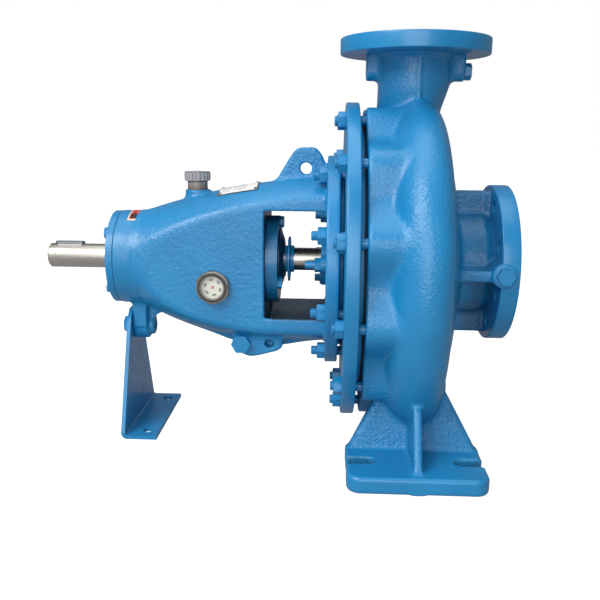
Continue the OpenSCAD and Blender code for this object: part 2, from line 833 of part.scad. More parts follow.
// ---- Labels ----
plate_from = 4;
plate_to = 7;
plate_angle = 12;
plate_tilt = 9.5;
module label_screws(r, deep, proud) {
    outline = bell_profile(1.83);
    for (i = [plate_from, plate_to], side = [-1, 1])
        let (inward = i == plate_from ? 8.3 : -18,
             p = outline[i],
             q = outline[i == plate_from ? 5 : 6],
             slope = (q[1] - p[1]) / (q[0] - p[0]))
        rotate([plate_tilt + side * (plate_angle - 2.5), 0, 0])
            translate([p[0] + inward, 0, p[1] + inward * slope - deep]) cylinder(h = deep + proud, r = r);
}

module plate_shell(gap, t) {
    outline = bell_profile(1.83);
    part = [for (i = [plate_from:plate_to]) outline[i]];
    turned(concat([for (p = part) [p[0], p[1] + gap + t]],
                  [for (i = [len(part) - 1:-1:0]) [part[i][0], part[i][1] + gap]]));
}

module nameplate() {
    color([0.70, 0.71, 0.72]) in_place() difference() {
        intersection() {
            plate_shell(0.02, 0.8);
            translate([-245, -100, 0]) cube([52, 200, 150]);
            rotate([0, 90, 0]) rotate([0, 0, 180 + plate_tilt - plate_angle])
                translate([0, 0, -400]) rotate_extrude(angle = 2 * plate_angle)
                    translate([20, 0]) square([120, 380]);
        }
        label_screws(1.3, 6, 4);
    }
}

module nameplate_rivets() {
    color(steel) in_place() {
        label_screws(1.2, 4, 1.6);
        label_screws(2, -1.35, 2.2);
    }
}

module rotation_label() {
    color([0.80, 0.25, 0.15]) in_place() intersection() {
        ring_x(-361, 14, barrel_r + 0.5, barrel_r + 0.02);
        translate([-400, 0, 0]) rotate([0, 90, 0]) rotate([0, 0, 180 - 4]) rotate_extrude(angle = 37)
            translate([20, 0]) square([120, 100]);
    }
}

volute_casing();
front_wear_ring();
rear_wear_ring();
casing_gasket();
casing_cover();
cover_studs();
cover_nuts();
neck_bush();
packing_rings();
lantern_ring();
gland();
gland_studs();
gland_nuts();
bearing_bracket();
bracket_studs();
bracket_nuts();
drive_bearing_cover();
drive_cover_gasket();
drive_cover_bolts();
drive_oil_seal();
pump_bearing_cover();
pump_cover_gasket();
pump_cover_bolts();
pump_oil_seal();
drive_outer_ring();
drive_inner_ring();
drive_balls();
drive_cage();
pump_outer_ring();
pump_inner_ring();
pump_balls();
pump_cage();
shaft();
shaft_circlips();
coupling_key();
impeller();
impeller_key();
impeller_washer();
impeller_nut();
thrower();
filler_neck();
cap_gasket();
filler_cap();
sight_glass_ring();
sight_glass_lens();
sight_glass_disc();
sight_glass_seal();
oil_drain_plug();
drain_plug_washer();
suction_gauge_plug();
discharge_gauge_plug();
support_foot();
support_bolt();
support_washer();
nameplate();
nameplate_rivets();
rotation_label();
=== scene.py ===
"""Looks for an end-suction centrifugal pump: painted castings, turned steel and small fittings.

Lengths are in millimetres, counted from the point where the shaft axis meets the discharge
centreline: +X towards the suction flange, +Z up, -Y towards the camera. Meshes are converted to
the frame's metres by to_frame(). The castings are signed distance fields turned into meshes.
"""
import json
import math

import bpy
import numpy as np
from mathutils import Matrix, Vector


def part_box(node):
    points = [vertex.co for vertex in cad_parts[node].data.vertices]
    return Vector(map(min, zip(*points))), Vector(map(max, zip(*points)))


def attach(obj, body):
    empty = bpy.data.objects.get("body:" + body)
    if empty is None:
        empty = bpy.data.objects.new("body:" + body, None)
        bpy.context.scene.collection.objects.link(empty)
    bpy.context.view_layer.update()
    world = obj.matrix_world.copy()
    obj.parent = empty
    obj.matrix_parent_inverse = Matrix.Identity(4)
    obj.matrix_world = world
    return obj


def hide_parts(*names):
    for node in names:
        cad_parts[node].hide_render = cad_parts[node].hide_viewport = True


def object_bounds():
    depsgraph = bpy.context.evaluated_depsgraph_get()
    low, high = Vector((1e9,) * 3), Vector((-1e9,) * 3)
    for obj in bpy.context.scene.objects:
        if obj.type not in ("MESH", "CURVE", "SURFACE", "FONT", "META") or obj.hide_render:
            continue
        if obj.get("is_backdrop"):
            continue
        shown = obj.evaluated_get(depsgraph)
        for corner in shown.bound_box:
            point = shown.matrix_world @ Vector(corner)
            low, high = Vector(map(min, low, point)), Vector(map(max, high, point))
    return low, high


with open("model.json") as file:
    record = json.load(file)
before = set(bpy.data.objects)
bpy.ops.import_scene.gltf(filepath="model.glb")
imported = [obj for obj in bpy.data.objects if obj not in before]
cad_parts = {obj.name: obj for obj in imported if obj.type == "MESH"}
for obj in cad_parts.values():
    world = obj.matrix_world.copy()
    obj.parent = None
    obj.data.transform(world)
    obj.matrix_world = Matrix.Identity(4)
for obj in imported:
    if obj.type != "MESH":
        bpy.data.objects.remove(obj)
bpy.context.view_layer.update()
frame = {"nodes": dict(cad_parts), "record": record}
RECORD = frame["record"]
MOUNTS = {m["name"]: m for m in RECORD["mounts"]}
MM = 0.001
ORIGIN_X = MOUNTS["discharge_flange"]["pos_m"][0] / MM
TAU = 2 * math.pi


# ---------------------------------------------------------------- places taken from the frame
def node_box(node):
    """Lowest and highest corner of a CAD node, in the script's millimetres."""
    low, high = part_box(node)
    return np.array([low.x / MM - ORIGIN_X, low.y / MM, low.z / MM]), \
        np.array([high.x / MM - ORIGIN_X, high.y / MM, high.z / MM])


CASING_LOW, CASING_HIGH = node_box("volute_casing")
BRACKET_LOW, BRACKET_HIGH = node_box("bearing_bracket")
SUCTION_X = -ORIGIN_X
BASE_Z = CASING_LOW[2]
DISCHARGE_Z = CASING_HIGH[2]
COVER_R = node_box("casing_cover")[1][1]
COLLAR_X = node_box("casing_gasket")[1][0]
COVER_BACK = node_box("cover_nuts")[1][0]
COVER_T = 16.0
FLANGE_BACK = node_box("bracket_nuts")[1][0]
FLANGE_T = 16.0
FLANGE_R = BRACKET_HIGH[1]
WINDOW_X = node_box("pump_cover_gasket")[0][0]
BARREL_END = BRACKET_LOW[0]
PIPE_FLANGE_T = 22.0
DISCHARGE_T = 19.0
SUCTION_R = 100.0
DISCHARGE_R = 92.5
STUD_CIRCLE = 184.0
BRACKET_CIRCLE = 121.0


# ---------------------------------------------------------------- signed distance fields
def smooth_union(a, b, k):
    h = np.maximum(k - np.abs(a - b), 0.0)
    return np.minimum(a, b) - h * h / (4 * k)


def smooth_meet(a, b, k):
    return -smooth_union(-a, -b, k)


def smooth_cut(a, b, k):
    return smooth_meet(a, -b, k)


def slab(v, low, high):
    """Distance outside the space between two parallel planes."""
    return np.abs(v - (low + high) / 2) - (high - low) / 2


def rounded(*distances, k=3.0):
    """Where all the given spaces meet, with edges rounded by about k."""
    out = distances[0]
    for d in distances[1:]:
        out = smooth_meet(out, d, k)
    return out


# Round bars along one axis, between two places on it
def rod_x(x, y, z, x0, x1, radius, cy=0.0, cz=0.0, k=2.0):
    return rounded(np.hypot(y - cy, z - cz) - radius, slab(x, x0, x1), k=k)


def rod_y(x, y, z, y0, y1, radius, cx, cz, k=2.0):
    return rounded(np.hypot(x - cx, z - cz) - radius, slab(y, y0, y1), k=k)


def rod_z(x, y, z, z0, z1, radius, cx=0.0, cy=0.0, k=2.0):
    return rounded(np.hypot(x - cx, y - cy) - radius, slab(z, z0, z1), k=k)


def half_plane(u, v, p, q):
    """Distance to the right-hand side of the line from p to q."""
    du, dv = q[0] - p[0], q[1] - p[1]
    length = math.hypot(du, dv)
    return ((u - p[0]) * -dv + (v - p[1]) * du) / length


def convex_polygon(u, v, points, k=2.0):
    """Inside of a convex outline given clockwise, with rounded corners."""
    out = None
    for p, q in zip(points, points[1:] + points[:1]):
        d = half_plane(u, v, p, q)
        out = d if out is None else smooth_meet(out, d, k)
    return out


# ---------------------------------------------------------------- field to mesh
def evaluate(field, low, high, step):
    """Samples the field on a grid, finely only where its surface can be."""
    fine = 4
    block = step * fine
    counts = np.ceil((np.array(high) - np.array(low)) / block).astype(int)
    axes = [low[i] + block * (np.arange(counts[i]) + 0.5) - step / 2 for i in range(3)]
    cx, cy, cz = np.meshgrid(*axes, indexing="ij")
    coarse = field(cx.ravel(), cy.ravel(), cz.ravel()).reshape(counts)
    near = np.abs(coarse) < block * 1.6
    values = np.repeat(np.repeat(np.repeat(coarse, fine, 0), fine, 1), fine, 2)
    mask = np.repeat(np.repeat(np.repeat(near, fine, 0), fine, 1), fine, 2)
    index = np.argwhere(mask)
    points = index * step + np.array(low)
    values[mask] = field(points[:, 0], points[:, 1], points[:, 2])
    return values.astype(np.float32)


def surface_net(values, low, step):
    """One vertex in each cell that the surface crosses, one quad round each crossed edge."""
    n = np.array(values.shape)
    corner = [values[i:n[0] - 1 + i, j:n[1] - 1 + j, k:n[2] - 1 + k]
              for i in (0, 1) for j in (0, 1) for k in (0, 1)]
    inside = sum((c < 0).astype(np.int8) for c in corner)
    active = (inside > 0) & (inside < 8)
    cells = np.argwhere(active)
    number = np.full(active.shape, -1, np.int64)
    number[active] = np.arange(len(cells))
    offsets = [(i, j, k) for i in (0, 1) for j in (0, 1) for k in (0, 1)]
    total = np.zeros((len(cells), 3))
    weight = np.zeros(len(cells))
    flat = [c[active] for c in corner]
    for a in range(8):
        for b in range(a + 1, 8):
            pa, pb = np.array(offsets[a]), np.array(offsets[b])
            if np.abs(pa - pb).sum() != 1:
                continue
            va, vb = flat[a], flat[b]
            crossed = (va < 0) != (vb < 0)
            t = np.where(crossed, va / np.where(crossed, va - vb, 1.0), 0.0)
            total += np.where(crossed[:, None], pa + t[:, None] * (pb - pa), 0.0)
            weight += crossed
    vertices = (cells + total / weight[:, None]) * step + np.array(low)
    faces = []
    for axis in range(3):
        u, v = (axis + 1) % 3, (axis + 2) % 3
        here = [slice(1, m - 1) for m in n]
        there = list(here)
        here[axis], there[axis] = slice(0, n[axis] - 1), slice(1, n[axis])
        first, second = values[tuple(here)] < 0, values[tuple(there)] < 0
        edges = np.argwhere(first != second)
        going_out = first[tuple(edges.T)]
        edges[:, u] += 1
        edges[:, v] += 1
        quad = []
        for du, dv in ((-1, -1), (0, -1), (0, 0), (-1, 0)):
            cell = edges.copy()
            cell[:, u] += du
            cell[:, v] += dv
            quad.append(number[tuple(cell.T)])
        quad = np.stack(quad, 1)
        quad[~going_out] = quad[~going_out][:, ::-1]
        faces.append(quad)
    return vertices, np.concatenate(faces)


def settle(field, vertices, rounds=2):
    """Moves the vertices onto the field's surface."""
    e = 0.25
    for _ in range(rounds):
        x, y, z = vertices.T
        d = field(x, y, z)
        slope = np.stack([field(x + e, y, z) - field(x - e, y, z),
                          field(x, y + e, z) - field(x, y - e, z),
                          field(x, y, z + e) - field(x, y, z - e)], 1) / (2 * e)
        size = np.maximum((slope ** 2).sum(1), 0.2)
        move = np.clip(d / size, -1.5, 1.5)
        vertices = vertices - slope * move[:, None]
    return vertices


def casting(name, field, low, high, step, material, body, slot, nodes):
    """Builds a cast piece from its field, kept inside low and high, in place of CAD nodes."""
    start, end = np.array(low) - 3 * step, np.array(high) + 3 * step
    vertices, faces = surface_net(evaluate(field, start, end, step), start, step)
    vertices = np.clip(settle(field, vertices), low, high)
    mesh = bpy.data.meshes.new(name)
    mesh.from_pydata(to_frame(vertices).tolist(), [], faces.tolist())
    mesh.polygons.foreach_set("use_smooth", np.ones(len(faces), bool))
    mesh.update()
    return add_piece(name, mesh, material, body, nodes)


def to_frame(points):
    points = np.asarray(points, float)
    return (points + np.array([ORIGIN_X, 0.0, 0.0])) * MM


def add_piece(name, mesh, material, body, nodes=()):
    piece = bpy.data.objects.new(name, mesh)
    bpy.context.scene.collection.objects.link(piece)
    mesh.materials.clear()
    mesh.materials.append(material)
    if nodes:
        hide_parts(*nodes)
    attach(piece, body)
    return piece


def smooth_step(t):
    t = np.clip(t, 0.0, 1.0)
    return t * t * (3 - 2 * t)


def oval(u, v, a, b):
    """Distance to an ellipse with semi-axes a and b, close enough near its edge."""
    k0 = np.hypot(u / a, v / b)
    k1 = np.hypot(u / a ** 2, v / b ** 2)
    return k0 * (k0 - 1) / np.maximum(k1, 1e-4)


# ---------------------------------------------------------------- volute casing
SPIRAL_X, SPIRAL_R, SPIRAL_GAIN, SECTION_R = 5.0, 206.0, 12.0, 52.0
TONGUE, TONGUE_FADE = math.radians(325), math.radians(35)
BELLY, BELLY_TURN, BELLY_SPREAD = 8.0, 2.5, 0.5
COLLAR_R, LOBE_DEPTH, FIRST_STUD = 190.0, 9.5, math.radians(15)
NECK_START, NECK_R, WEB_R, WEB_HALF = 30.0, 64.0, 93.0, 7.0
RIB_Z, RIB_REACH = (-8.3, 5.1), 99.0
PLUG_BOSS_R, PLUG_BOSS_REACH = 15.0, 103.0
SUCTION_PLUG_X, OUTLET_PLUG_Z = SUCTION_X - 19, DISCHARGE_Z - DISCHARGE_T - 19
OUTLET_HALF, OUTLET_LEAN, OUTLET_WALL = 45.0, 42.0, 12.5
FOOT_X, FOOT_HALF_X, FOOT_HALF_Y, FOOT_CORNER_R = 2.0, 80.0, 212.5, 16.0
FOOT_TOP = BASE_Z + 20
LEG_TOP, LEG_HALF_X, LEG_OUT, LEG_IN, LEG_SLOPE = -112.0, 77.0, 135.0, 121.0, 24.0
GUSSET_HALF, GUSSET_IN = 4.8, 108.0
CREST_START, CREST_END, BROW_START = (171, -142), (FOOT_HALF_Y - 10, FOOT_TOP + 1), (106, -132)
SLOT_X, SLOT_Y, SLOT_R = 55.0, 165.0, 9.0


def volute_part(x, y, z, r):
    """The spiral, whose radius and width grow with the turn from the top."""
    turn = np.mod(np.arctan2(-y, z), TAU)
    fade = 1 - smooth_step((turn - TONGUE) / TONGUE_FADE)
    belly = BELLY * np.exp(-((turn - BELLY_TURN) / BELLY_SPREAD) ** 2)
    outer = SPIRAL_R + SPIRAL_GAIN * turn / TAU * fade + belly
    half = 37 + np.minimum(3 * turn, 13) * fade
    wall = (x - (0.6 * half + 15.5 + (155 - r) * 0.2)) * 0.98
    front = smooth_meet(r - outer, wall, 26)
    back = oval(x - SPIRAL_X, r - (outer - SECTION_R), half, SECTION_R)
    ring = np.where(x < SPIRAL_X, back, front)
    core = rounded(wall, COLLAR_X + 6 - x, r - 150, k=8)
    return smooth_union(ring, core, 5)


def lobed_collar(x, y, z, r):
    """The joint collar, with a lobe behind each cover stud."""
    lobes = np.cos(12 * (np.arctan2(y, z) - FIRST_STUD))
    return rounded(r - COLLAR_R - LOBE_DEPTH * lobes, COLLAR_X - x, x - 6, k=4)


def suction_neck(x, y, z, r):
    """The neck, with upright webs and level ribs from the volute to the flange."""
    face = SUCTION_X - PIPE_FLANGE_T
    neck = rounded(r - NECK_R + 4 * smooth_step((x - face + 12) / 12),
                   slab(x, NECK_START, SUCTION_X - 0.7), k=1)
    webs = rounded(r - WEB_R, np.abs(y) - WEB_HALF - 3 * smooth_step((x - face + 10) / 10),
                   slab(x, NECK_START, face + 4), k=4)
    rib = rounded(slab(z, *RIB_Z), np.abs(y) - RIB_REACH, slab(x, 40, face + 3), k=4)
    return smooth_union(np.minimum(webs, rib), neck, 7)


def discharge_neck(x, y, z):
    """Outside and waterway of the neck, which leans to the far side as it goes down."""
    down = np.clip((225 - z) / 100, 0, 1)
    right = 45 - 29 * down
    half_x, centre_x = (right + 44.6) / 2, (right - 44.6) / 2
    half_y, centre_y = OUTLET_HALF + 8 * down, OUTLET_LEAN * smooth_step(down)
    tube = oval(x - centre_x, y - centre_y, half_x, half_y)
    waterway = oval(x - centre_x, y - centre_y, half_x - 12.3, half_y - OUTLET_WALL)
    under = DISCHARGE_Z - DISCHARGE_T
    tube = rounded(tube - 5 * smooth_step((z - under + 7) / 8), slab(z, 120, under + 4), k=1)
    parting = rounded(np.abs(x - 2) - 2.5, np.abs(y + 22) - 24, slab(z, 190, under), k=3)
    tube = smooth_union(tube, parting, 3)
    ears = rod_x(x, y, z, -60, 62, 12, 0, OUTLET_PLUG_Z, k=3)
    ears = np.minimum(ears, rounded(np.abs(x - 1) - 61, np.abs(y) - 12,
                                    slab(z, OUTLET_PLUG_Z, under + 2), k=3))
    return smooth_union(tube, ears, 7), np.maximum(waterway, 150 - z)


def feet(u, v, z):
    """Plate, sloped leg and gusset, for u along the pump and v out from its centre plane."""
    corner = np.hypot(np.maximum(np.abs(u) - FOOT_HALF_X + FOOT_CORNER_R, 0),
                      np.maximum(v - FOOT_HALF_Y + FOOT_CORNER_R, 0)) - FOOT_CORNER_R
    plate = smooth_meet(corner, slab(z, BASE_Z, FOOT_TOP), 5)
    rise = np.clip((z - FOOT_TOP) / 95, 0, 1.2)
    leg = rounded((np.abs(u) - LEG_HALF_X + 52 * rise) * 0.88,
                  (v - LEG_OUT + LEG_SLOPE * rise) * 0.96, slab(z, BASE_Z + 3, LEG_TOP), k=6)
    foot = smooth_cut(smooth_union(plate, leg, 5), v - LEG_IN + LEG_SLOPE * rise, 3)
    crest = half_plane(v, z, CREST_START, CREST_END)
    brow = half_plane(v, z, BROW_START, CREST_START)
    gusset = rounded(np.abs(u) - GUSSET_HALF, crest, brow, slab(z, BASE_Z + 3, -100),
                     GUSSET_IN - v, k=3.5)
    return smooth_union(foot, gusset, 7)


def slot_distance(u, v):
    """Distance to the edge of the open bolt slots."""
    return np.hypot(np.maximum(SLOT_X - np.abs(u), 0), v - SLOT_Y) - SLOT_R


def casing_hollow(x, y, z, r, waterway):
    """The space inside: impeller chamber, spiral, inlet and outlet."""
    hollow = rounded(r - 164, slab(x, COLLAR_X - 20, 14), k=2)
    hollow = np.minimum(hollow, rounded(r - 168, x + 36, k=2))
    hollow = np.minimum(hollow, rounded(r - 66, slab(x, 0, 22), k=2))
    hollow = np.minimum(hollow, np.hypot(np.hypot(y - 5, z + 4) - 168, x) - 27)
    hollow = np.minimum(hollow, rounded(r - 56, slab(x, 10, 40), k=1))
    hollow = np.minimum(hollow, np.maximum(r - 40, 30 - x))
    return np.minimum(hollow, waterway)


def casing_field(x, y, z):
    r = np.hypot(y, z)
    u, v = x - FOOT_X, np.abs(y)
    body = smooth_union(volute_part(x, y, z, r), lobed_collar(x, y, z, r), 6)
    body = smooth_union(body, suction_neck(x, y, z, r), 6)
    plug_boss = rod_y(x, y, z, -PLUG_BOSS_REACH, PLUG_BOSS_REACH, PLUG_BOSS_R,
                      SUCTION_PLUG_X, 0, k=3)
    body = smooth_union(body, plug_boss, 3)
    outside, waterway = discharge_neck(x, y, z)
    body = smooth_union(body, outside, 9)
    body = smooth_union(body, feet(u, v, z), 7)
    body = smooth_cut(body, np.maximum(slot_distance(u, v), z - FOOT_TOP - 6), 2.5)
    behind_joint_face = smooth_meet(r - 206, x - COLLAR_X, 3)
    body = smooth_cut(body, behind_joint_face, 2.5)
    return smooth_cut(body, casing_hollow(x, y, z, r, waterway), 1.5)


# ---------------------------------------------------------------- bearing bracket
BARREL_X, BELL_X, BARREL_R, BELL_R, SIDE_Y = -345.0, -107.0, 61.5, 106.5, 62.0
WINDOW_Z = (-67.5, 69)
HOUSING_R, OIL_SPACE_R, CHAMBER_R, FLANGE_BORE_R = 40.1, 46.0, 88.0, 100.0
DRIVE_HOUSING, PUMP_HOUSING = (BARREL_END - 9, BARREL_END + 21), (-216, -170)
KEEL_HALF, PAD_HALF, LUG_HALF, BRACE_HALF = 14.0, 45.0, 7.5, 7.0
EAR_Z, EAR_R, EAR_BOSS_R, EAR_X = -94.0, 18.0, 13.0, (-363, -344)
FILLER = np.array([-275.0, 90.0])
SIGHT = np.array([-247.0, -27.0])
DRAIN = np.array([-214.0, -105.0])
SPARE_HOLE = np.array([-177.6, -105.0])
LUG_EYE = np.array([-133.4, 118.5])
# Outlines in the plane of the shaft, as (x, z), clockwise
KEEL = [(-107, -90), (-107, -105), (-161, -116.5), (-232, -111), (-322, -73), (-322, -60)]
PAD = [(-159, -70), (-160.5, -110), (-166, -115), (-198, -123.5), (-205, -123.5), (-222, -115.5),
       (-225.5, -107), (-226, -70)]
LUG = [(-176, 96), (-150, 140), (-145, 144.5), (-122, 145.5), (-116, 141), (-108, 126), (-103, 96)]
BRACE = [(-350, -50), (-319, -50), (-319, -71), (-350, -88)]


def bell_radius(x, z):
    """Radius of the bell between barrel and flange, fuller above the shaft than below it."""
    t = np.clip((x - BARREL_X) / (BELL_X - BARREL_X), 0, 1)
    power = 1.83 + 1.37 * smooth_step(0.5 - z / 60)
    return BARREL_R + (BELL_R - BARREL_R) * (1 - (1 - t) ** power)


def support_ear(x, y, z):
    """The ear under the barrel that the support foot is bolted to."""
    ear = rounded(slab(x, *EAR_X), np.abs(y) - 20, slab(z, EAR_Z, -34), k=3)
    ear = np.minimum(ear, rod_x(x, y, z, *EAR_X, EAR_R, 0, EAR_Z, k=3))
    ear = smooth_union(ear, rod_x(x, y, z, EAR_X[0], EAR_X[1] + 7, EAR_BOSS_R, 0, EAR_Z, k=3), 4)
    brace = rounded(convex_polygon(x, z, BRACE, 3), np.abs(y) - BRACE_HALF, k=4)
    return smooth_union(ear, brace, 5)


def bracket_body(x, y, z, r):
    """The outside, without window and holes."""
    bell = rounded(r - bell_radius(x, z), np.abs(y) - SIDE_Y, slab(x, BARREL_X - 5, -98), k=5)
    barrel = rod_x(x, y, z, BARREL_END, BARREL_X + 15, BARREL_R, k=1.5)
    body = smooth_union(bell, barrel, 4)
    keel = rounded(convex_polygon(x, z, KEEL, 3), np.abs(y) - KEEL_HALF, k=6)
    body = smooth_union(body, keel, 8)
    pad = rounded(convex_polygon(x, z, PAD, 2.5), np.abs(y) - PAD_HALF, k=4)
    body = smooth_union(body, pad, 6)
    filler_boss = rod_z(x, y, z, 40, FILLER[1], 16, FILLER[0], 0, k=2)
    body = smooth_union(body, filler_boss, 6)
    lug = rounded(convex_polygon(x, z, LUG, 4), np.abs(y) - LUG_HALF, k=4)
    body = smooth_union(body, lug, 7)
    body = smooth_union(body, support_ear(x, y, z), 6)
    flange = rod_x(x, y, z, FLANGE_BACK, FLANGE_BACK + FLANGE_T, FLANGE_R, k=2)
    flange = np.minimum(flange, rod_x(x, y, z, FLANGE_BACK + 8, COVER_BACK, 112, k=1))
    return smooth_union(body, flange, 6)


def bracket_inside(x, y, z, r):
    """Chamber, bearing housings and oil space round the shaft, and the support bolt's hole."""
    inside = rounded(r - CHAMBER_R, slab(x, WINDOW_X, -60), k=4)
    inside = np.minimum(inside, np.maximum(r - FLANGE_BORE_R, -94.5 - x))
    inside = np.minimum(inside, np.maximum(r - HOUSING_R, slab(x, *DRIVE_HOUSING)))
    inside = np.minimum(inside, rounded(r - OIL_SPACE_R, slab(x, BARREL_END + 20, -214), k=3))
    inside = np.minimum(inside, np.maximum(r - HOUSING_R, slab(x, *PUMP_HOUSING)))
    bolt_hole = np.hypot(y, z - EAR_Z) - 6.2 + np.maximum(0, x + 337) * 2
    inside = np.minimum(inside, bolt_hole)
    return np.minimum(inside, np.maximum(np.hypot(x - FILLER[0], y) - 9.1, 62 - z))


def bracket_side_holes(x, y, z):
    """Holes for sight glass and drain plug, the spare hole beside it, and the lifting eye."""
    def off(place):
        return np.hypot(x - place[0], z - place[1])

    holes = np.maximum(off(SIGHT) - 16.1, y + 44)
    holes = np.minimum(holes, np.maximum(off(DRAIN) - 8.1, y + 22))
    holes = np.minimum(holes, np.maximum(off(SPARE_HOLE) - 6, y + 30))
    return np.minimum(holes, off(LUG_EYE) - 7.5)


def bracket_field(x, y, z):
    r = np.hypot(y, z)
    window = rounded(slab(x, WINDOW_X, BELL_X), slab(z, *WINDOW_Z), k=3)
    body = smooth_cut(bracket_body(x, y, z, r), window, 2)
    holes = np.minimum(bracket_inside(x, y, z, r), bracket_side_holes(x, y, z))
    return smooth_cut(body, holes, 1.6)


# ---------------------------------------------------------------- turned and bolted pieces
def mesh_from(name, vertices, faces, smooth_angle=35):
    mesh = bpy.data.meshes.new(name)
    mesh.from_pydata(to_frame(vertices).tolist(), [], faces)
    mesh.update()
    mesh.polygons.foreach_set("use_smooth", np.ones(len(mesh.polygons), bool))
    mesh.set_sharp_from_angle(angle=math.radians(smooth_angle))
    return mesh


def basis(axis):
    """Two directions square to the axis."""
    axis = np.array(axis, float)
    other = np.array([0.0, 1.0, 0.0]) if abs(axis[1]) < 0.9 else np.array([0.0, 0.0, 1.0])
    u = np.cross(other, axis)
    u /= np.linalg.norm(u)
    return u, np.cross(axis, u)


def lathe(profile, centre=(0, 0, 0), axis=(1, 0, 0), segments=160):
    """Vertices and faces of a closed outline of (along, radius) points turned round an axis."""
    axis = np.array(axis, float)
    u, v = basis(axis)
    profile = np.array(profile, float)
    along, out = profile.T
    if along @ np.roll(out, -1) < out @ np.roll(along, -1):
        profile = profile[::-1]
    n = len(profile)
    angles = np.arange(segments) * TAU / segments
    ring = np.cos(angles)[:, None] * u + np.sin(angles)[:, None] * v
    points = (np.array(centre) + profile[None, :, 0, None] * axis
              + profile[None, :, 1, None] * ring[:, None, :]).reshape(-1, 3)
    faces = []
    for i in range(segments):
        a, b = i * n, ((i + 1) % segments) * n
        for j in range(n):
            k = (j + 1) % n
            faces.append((a + j, a + k, b + k, b + j))
    return points, faces


def softened(outline, radius, steps=3):
    """Rounds the corners of a closed outline."""
    points = [np.array(p, float) for p in outline]
    out = []
    for i, p in enumerate(points):
        before, after = points[i - 1] - p, points[(i + 1) % len(points)] - p
        reach = min(radius, np.linalg.norm(before) * 0.45, np.linalg.norm(after) * 0.45)
        a = p + before / np.linalg.norm(before) * reach
        b = p + after / np.linalg.norm(after) * reach
        for s in range(steps + 1):
            t = s / steps
            out.append((1 - t) ** 2 * a + 2 * t * (1 - t) * p + t ** 2 * b)
    return out


def hexagon(flats, height, hole=0.0, turn=0.0, sides=72):
    """A nut standing on z = 0, chamfered on top, as rings of (radius, z) round the axis."""
    angles = np.arange(sides) * TAU / sides + turn
    local = np.mod(angles - turn + math.pi / 6, math.pi / 3) - math.pi / 6
    rho = flats / 2 / np.cos(local)
    crown = flats / 2 * 0.97
    drop = (rho - crown) / 1.732
    rings = [(np.full(sides, hole), np.zeros(sides)), (rho - 0.15, np.zeros(sides)),
             (rho, np.full(sides, 0.3)), (rho, height - drop),
             (np.full(sides, crown), np.full(sides, height)),
             (np.full(sides, hole), np.full(sides, height))]
    return angles, rings


def hex_solid(base, axis, flats, height, hole=0.0, turn=0.0):
    axis = np.array(axis, float)
    u, v = basis(axis)
    angles, rings = hexagon(flats, height, hole, turn)
    n = len(angles)
    ring = np.cos(angles)[:, None] * u + np.sin(angles)[:, None] * v
    points = [np.array(base) + r[:, None] * ring + h[:, None] * axis for r, h in rings]
    faces = []
    for j in range(len(rings)):
        k = (j + 1) % len(rings)
        for i in range(n):
            m = (i + 1) % n
            faces.append((j * n + i, j * n + m, k * n + m, k * n + i))
    return np.concatenate(points), faces


def threaded(x0, x1, radius, thread_to, pitch=1.75):
    """Outline of a stud along +X whose end at x0 shows its thread."""
    outline = [(x0, 0.0), (x0, radius - 1.3), (x0 + 1.0, radius - 0.3)]
    x = x0 + 1.0
    while x + pitch < thread_to:
        outline += [(x + pitch * 0.25, radius), (x + pitch * 0.45, radius),
                    (x + pitch * 0.72, radius - 0.75), (x + pitch * 0.95, radius - 0.3)]
        x += pitch
    return outline + [(thread_to, radius), (x1, radius), (x1, 0.0)]


def merged(parts):
    vertices, faces, count = [], [], 0
    for points, quads in parts:
        vertices.append(points)
        faces += [tuple(i + count for i in q) for q in quads]
        count += len(points)
    return np.concatenate(vertices), faces


def places(count, radius, start_degrees):
    angles = [math.radians(start_degrees + i * 360 / count) for i in range(count)]
    return [(-radius * math.sin(a), radius * math.cos(a)) for a in angles]


# ---------------------------------------------------------------- materials
class Nodes:
    """Short names for building a material's node tree."""

    def __init__(self, name):
        self.material = bpy.data.materials.new(name)
        self.material.use_nodes = True
        self.tree = self.material.node_tree
        self.shader = self.tree.nodes["Principled BSDF"]

    def node(self, kind, **inputs):
        made = self.tree.nodes.new(kind)
        for key, value in inputs.items():
            if key[0].isupper():
                self.feed(made.inputs[key.replace("_", " ")], value)
            else:
                setattr(made, key, value)
        return made

    def feed(self, socket, value):
        if isinstance(value, bpy.types.NodeSocket):
            self.tree.links.new(value, socket)
        else:
            socket.default_value = value

    def set(self, **inputs):
        for key, value in inputs.items():
            self.feed(self.shader.inputs[key.replace("_", " ")], value)

    def place(self):
        return self.node("ShaderNodeNewGeometry").outputs["Position"]

    def noise(self, scale, detail=2.0, roughness=0.5, vector=None):
        return self.node("ShaderNodeTexNoise", Scale=scale, Detail=detail, Roughness=roughness,
                         Vector=vector or self.place()).outputs["Fac"]

    def ramp(self, value, low, high, to_low=0.0, to_high=1.0):
        return self.node("ShaderNodeMapRange", Value=value, From_Min=low, From_Max=high,
                         To_Min=to_low, To_Max=to_high).outputs["Result"]

    def mix(self, share, a, b):
        made = self.node("ShaderNodeMix", data_type="RGBA")
        self.feed(made.inputs[0], share)
        self.feed(made.inputs[6], a)
        self.feed(made.inputs[7], b)
        return made.outputs[2]

    def math(self, operation, a, b):
        made = self.node("ShaderNodeMath", operation=operation)
        self.feed(made.inputs[0], a)
        self.feed(made.inputs[1], b)
        return made.outputs[0]


def rgb(r, g, b):
    """Linear colour from 8-bit display values."""
    out = []
    for c in (r, g, b):
        c /= 255
        out.append(c / 12.92 if c <= 0.04045 else ((c + 0.055) / 1.055) ** 2.4)
    return (*out, 1.0)


BLUE, BLUE_DEEP = rgb(28, 133, 189), rgb(25, 125, 179)
SPECKLE_DARK, IN_SHADE = rgb(38, 46, 40), rgb(4, 26, 48)


